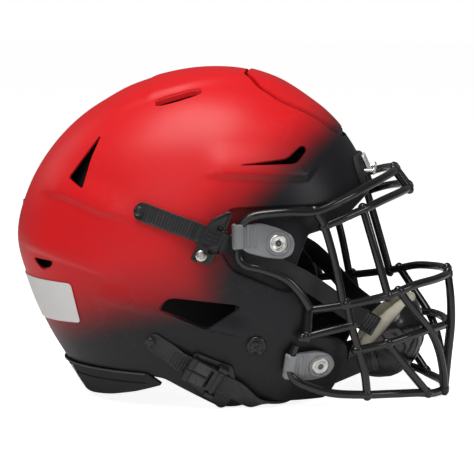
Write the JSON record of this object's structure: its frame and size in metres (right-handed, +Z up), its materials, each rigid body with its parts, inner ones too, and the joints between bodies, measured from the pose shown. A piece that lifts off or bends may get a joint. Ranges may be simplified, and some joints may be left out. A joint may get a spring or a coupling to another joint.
{
  "type": "american football helmet",
  "caption": "Vented football helmet shell with padded lining, clipped wire face mask, crown flex panel, cam and ratchet strap buckles and a padded chin cup.",
  "frame": {"origin": "on the floor under the middle of the helmet, which stands on the jaw and the mask", "axes": "+X forward, +Y to the wearer's left, +Z up"},
  "size_m": [0.3618, 0.2656, 0.2652],
  "materials": {
    "shell_paint": "matte red paint fading to black on a moulded shell",
    "wire_coating": "black dip coating on welded steel wire",
    "smoked_plastic": "smoked translucent plastic",
    "bright_screw": "bright steel",
    "dark_steel": "plain steel",
    "pale_plate": "blank white plastic",
    "bumper_rubber": "black moulded rubber",
    "cup_plastic": "gloss black plastic",
    "cream_foam": "cream foam liner",
    "strap_webbing": "black ribbed strap",
    "pad_skin": "dark grey padded fabric",
    "black_plastic": "moulded black plastic"
  },
  "bodies": {
    "root": {"shell": "shell_paint", "front_bumper": "bumper_rubber", "front_bumper_screws": "bright_screw", "nameplate": "pale_plate", "neck_bumper": "bumper_rubber", "neck_bumper_inserts": "pale_plate", "rear_label": "pale_plate", "inflation_valve": "bumper_rubber", "crown_pad": "pad_skin", "front_pad": "pad_skin", "back_pad": "pad_skin", "neck_pad": "pad_skin", "side_pad_right": "pad_skin", "side_pad_left": "pad_skin", "jaw_pad_right": "pad_skin", "jaw_pad_left": "pad_skin", "jaw_screws": "black_plastic", "mask_brow_bar": "wire_coating", "mask_lower_brow_bar": "wire_coating", "mask_middle_bar": "wire_coating", "mask_chin_bar": "wire_coating", "mask_bottom_bar": "wire_coating", "mask_uprights": "wire_coating", "mask_centre_bars": "wire_coating", "mask_diagonals": "wire_coating", "mask_side_bars": "wire_coating", "upper_clip_right": "smoked_plastic", "upper_clip_left": "smoked_plastic", "lower_clip_right": "smoked_plastic", "lower_clip_left": "smoked_plastic", "clip_washers": "bright_screw", "clip_sleeves": "dark_steel", "upper_buckle_base_right": "black_plastic", "upper_buckle_base_left": "black_plastic", "upper_buckle_screws": "bright_screw", "buckle_hinge_pins": "dark_steel", "lower_buckle_base_right": "black_plastic", "lower_buckle_base_left": "black_plastic", "upper_strap_right": "strap_webbing", "upper_strap_left": "strap_webbing", "lower_strap_right": "strap_webbing", "lower_strap_left": "strap_webbing", "strap_end_snaps": "black_plastic"},
    "flex_panel": {"flex_panel": "shell_paint"},
    "chin_cup": {"chin_cup": "cup_plastic", "chin_cup_pad": "cream_foam"},
    "upper_pin_right": {"upper_pin_right": "dark_steel"},
    "upper_pin_left": {"upper_pin_left": "dark_steel"},
    "lower_pin_right": {"lower_pin_right": "dark_steel"},
    "lower_pin_left": {"lower_pin_left": "dark_steel"},
    "upper_buckle_lever_right": {"upper_buckle_lever_right": "black_plastic"},
    "upper_buckle_lever_left": {"upper_buckle_lever_left": "black_plastic"},
    "lower_buckle_lever_right": {"lower_buckle_lever_right": "black_plastic"},
    "lower_buckle_lever_left": {"lower_buckle_lever_left": "black_plastic"}
  },
  "joints": [
    {"name": "upper_buckle_lever_right_turn", "type": "hinge", "parent": "root", "child": "upper_buckle_lever_right", "pos_m": [-0.00525, -0.12809, 0.13605], "axis": [0.3734, 0.039, 0.9269], "range_deg": [0, 80]},
    {"name": "upper_buckle_lever_left_turn", "type": "hinge", "parent": "root", "child": "upper_buckle_lever_left", "pos_m": [-0.00525, 0.12809, 0.13605], "axis": [-0.3734, 0.039, -0.9269], "range_deg": [0, 80]},
    {"name": "lower_buckle_lever_right_turn", "type": "hinge", "parent": "root", "child": "lower_buckle_lever_right", "pos_m": [-0.00833, -0.11613, 0.02316], "axis": [0.5005, -0.2373, 0.8326], "range_deg": [0, 60]},
    {"name": "lower_buckle_lever_left_turn", "type": "hinge", "parent": "root", "child": "lower_buckle_lever_left", "pos_m": [-0.00833, 0.11613, 0.02316], "axis": [-0.5005, -0.2373, -0.8326], "range_deg": [0, 60]},
    {"name": "upper_pin_right_press", "type": "slide", "parent": "root", "child": "upper_pin_right", "axis": [-0.3093, 0.9502, -0.0389], "range_m": [0, 0.0015], "stiffness_N_per_m": 1500, "springref_m": -0.0006},
    {"name": "upper_pin_left_press", "type": "slide", "parent": "root", "child": "upper_pin_left", "axis": [-0.3093, -0.9502, -0.0389], "range_m": [0, 0.0015], "stiffness_N_per_m": 1500, "springref_m": -0.0006},
    {"name": "lower_pin_right_press", "type": "slide", "parent": "root", "child": "lower_pin_right", "axis": [-0.4075, 0.8516, 0.3298], "range_m": [0, 0.0015], "stiffness_N_per_m": 1500, "springref_m": -0.0006},
    {"name": "lower_pin_left_press", "type": "slide", "parent": "root", "child": "lower_pin_left", "axis": [-0.4075, -0.8516, 0.3298], "range_m": [0, 0.0015], "stiffness_N_per_m": 1500, "springref_m": -0.0006},
    {"name": "flex_panel_give", "type": "hinge", "parent": "root", "child": "flex_panel", "pos_m": [0.0083, 0, 0.258], "axis": [0, 1, 0], "range_deg": [0, 2], "stiffness_Nm_per_rad": 20, "springref_deg": -0.57},
    {"name": "chin_cup_slack", "type": "slide", "parent": "root", "child": "chin_cup", "axis": [0.9, 0, -0.436], "range_m": [0, 0.01], "deforming": ["upper_strap_right", "upper_strap_left", "lower_strap_right", "lower_strap_left"]}
  ]
}
